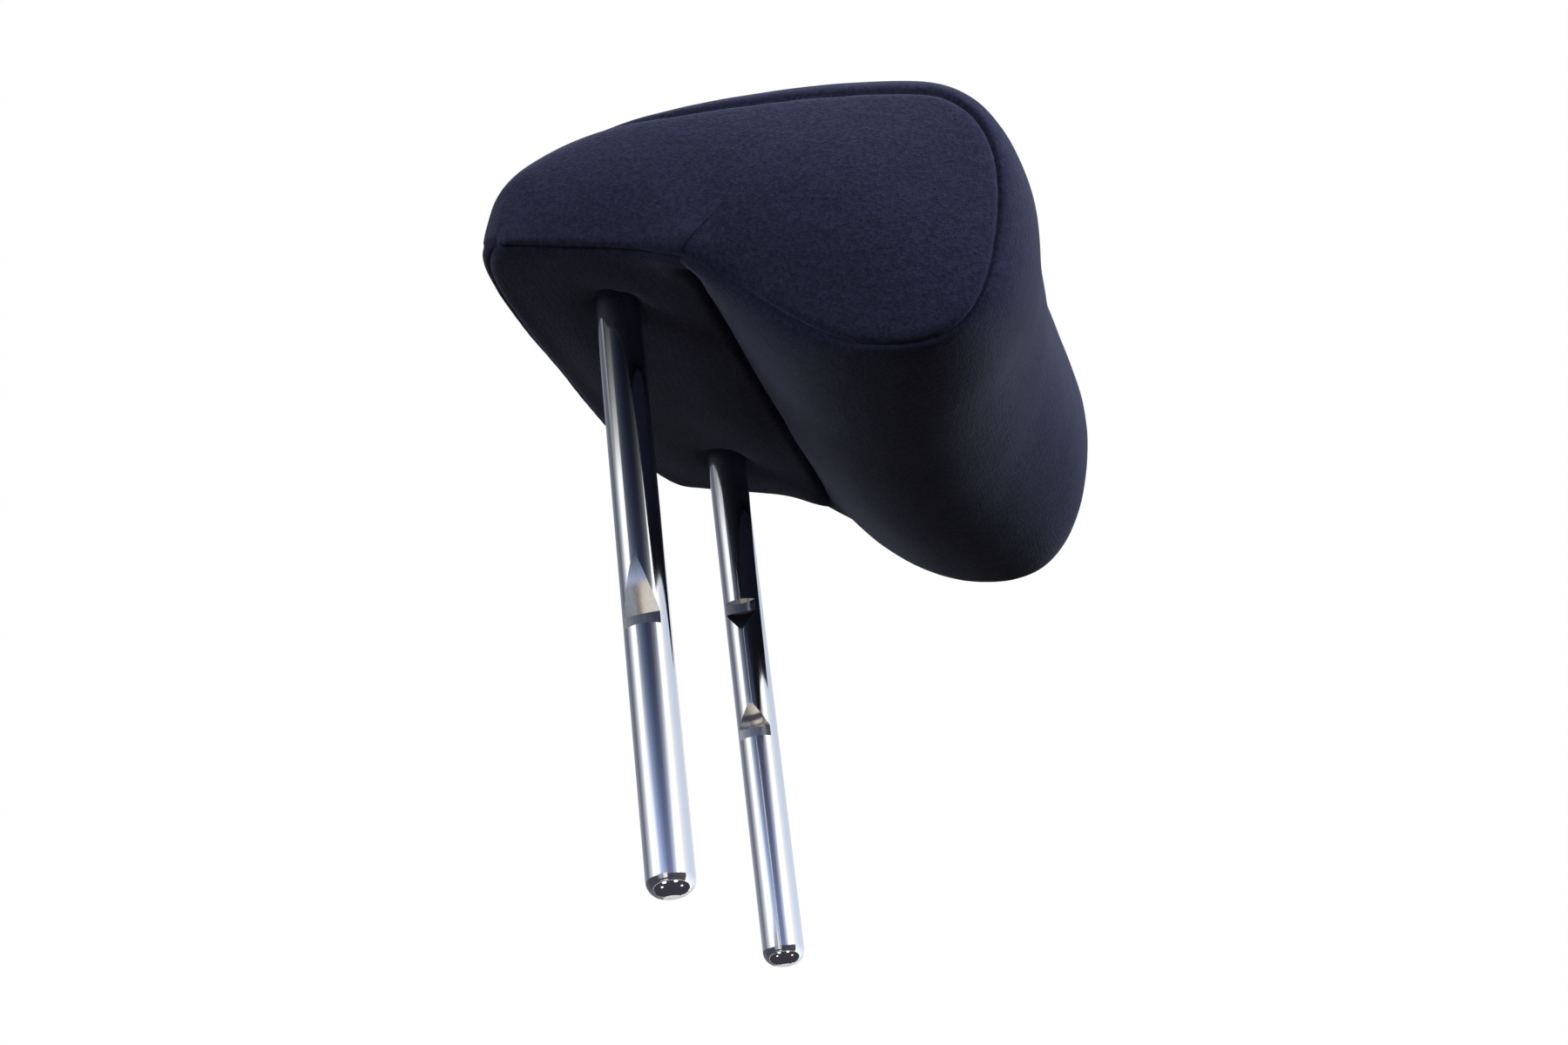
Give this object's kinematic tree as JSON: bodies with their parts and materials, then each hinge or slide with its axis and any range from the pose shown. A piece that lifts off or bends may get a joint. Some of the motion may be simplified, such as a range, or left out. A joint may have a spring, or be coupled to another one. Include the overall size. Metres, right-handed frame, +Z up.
{
  "type": "car headrest",
  "caption": "Padded rear-seat headrest with a lobe that hangs in front of the seat back, cloth cover with sewn side panels, and a bent chromed bar whose notched posts fit the seat's guides.",
  "frame": {"origin": "midway between the two posts' axes, where they pass the plane of the cushion's flat underside", "axes": "+Z up along the posts, -Y to the front where the lobe hangs, +X to the right-hand post as seen from the front of the view along +Y"},
  "size_m": [0.176, 0.1501, 0.2095],
  "materials": {
    "chrome": "polished",
    "cloth": "matte",
    "plastic": "matte",
    "foam": "matte",
    "screw_steel": "satin"
  },
  "bodies": {
    "root": {"stay_bar": "chrome", "cover_main_panel": "cloth", "cover_left_panel": "cloth", "cover_right_panel": "cloth", "cover_base_panel": "cloth", "closure_strip_main": "plastic", "closure_strip_base": "plastic", "foam_bun": "foam", "core_lower_shell": "plastic", "core_upper_shell": "plastic", "core_screw_1": "screw_steel", "core_screw_2": "screw_steel", "core_screw_3": "screw_steel", "core_screw_4": "screw_steel", "core_screw_5": "screw_steel", "core_screw_6": "screw_steel"}
  },
  "joints": []
}
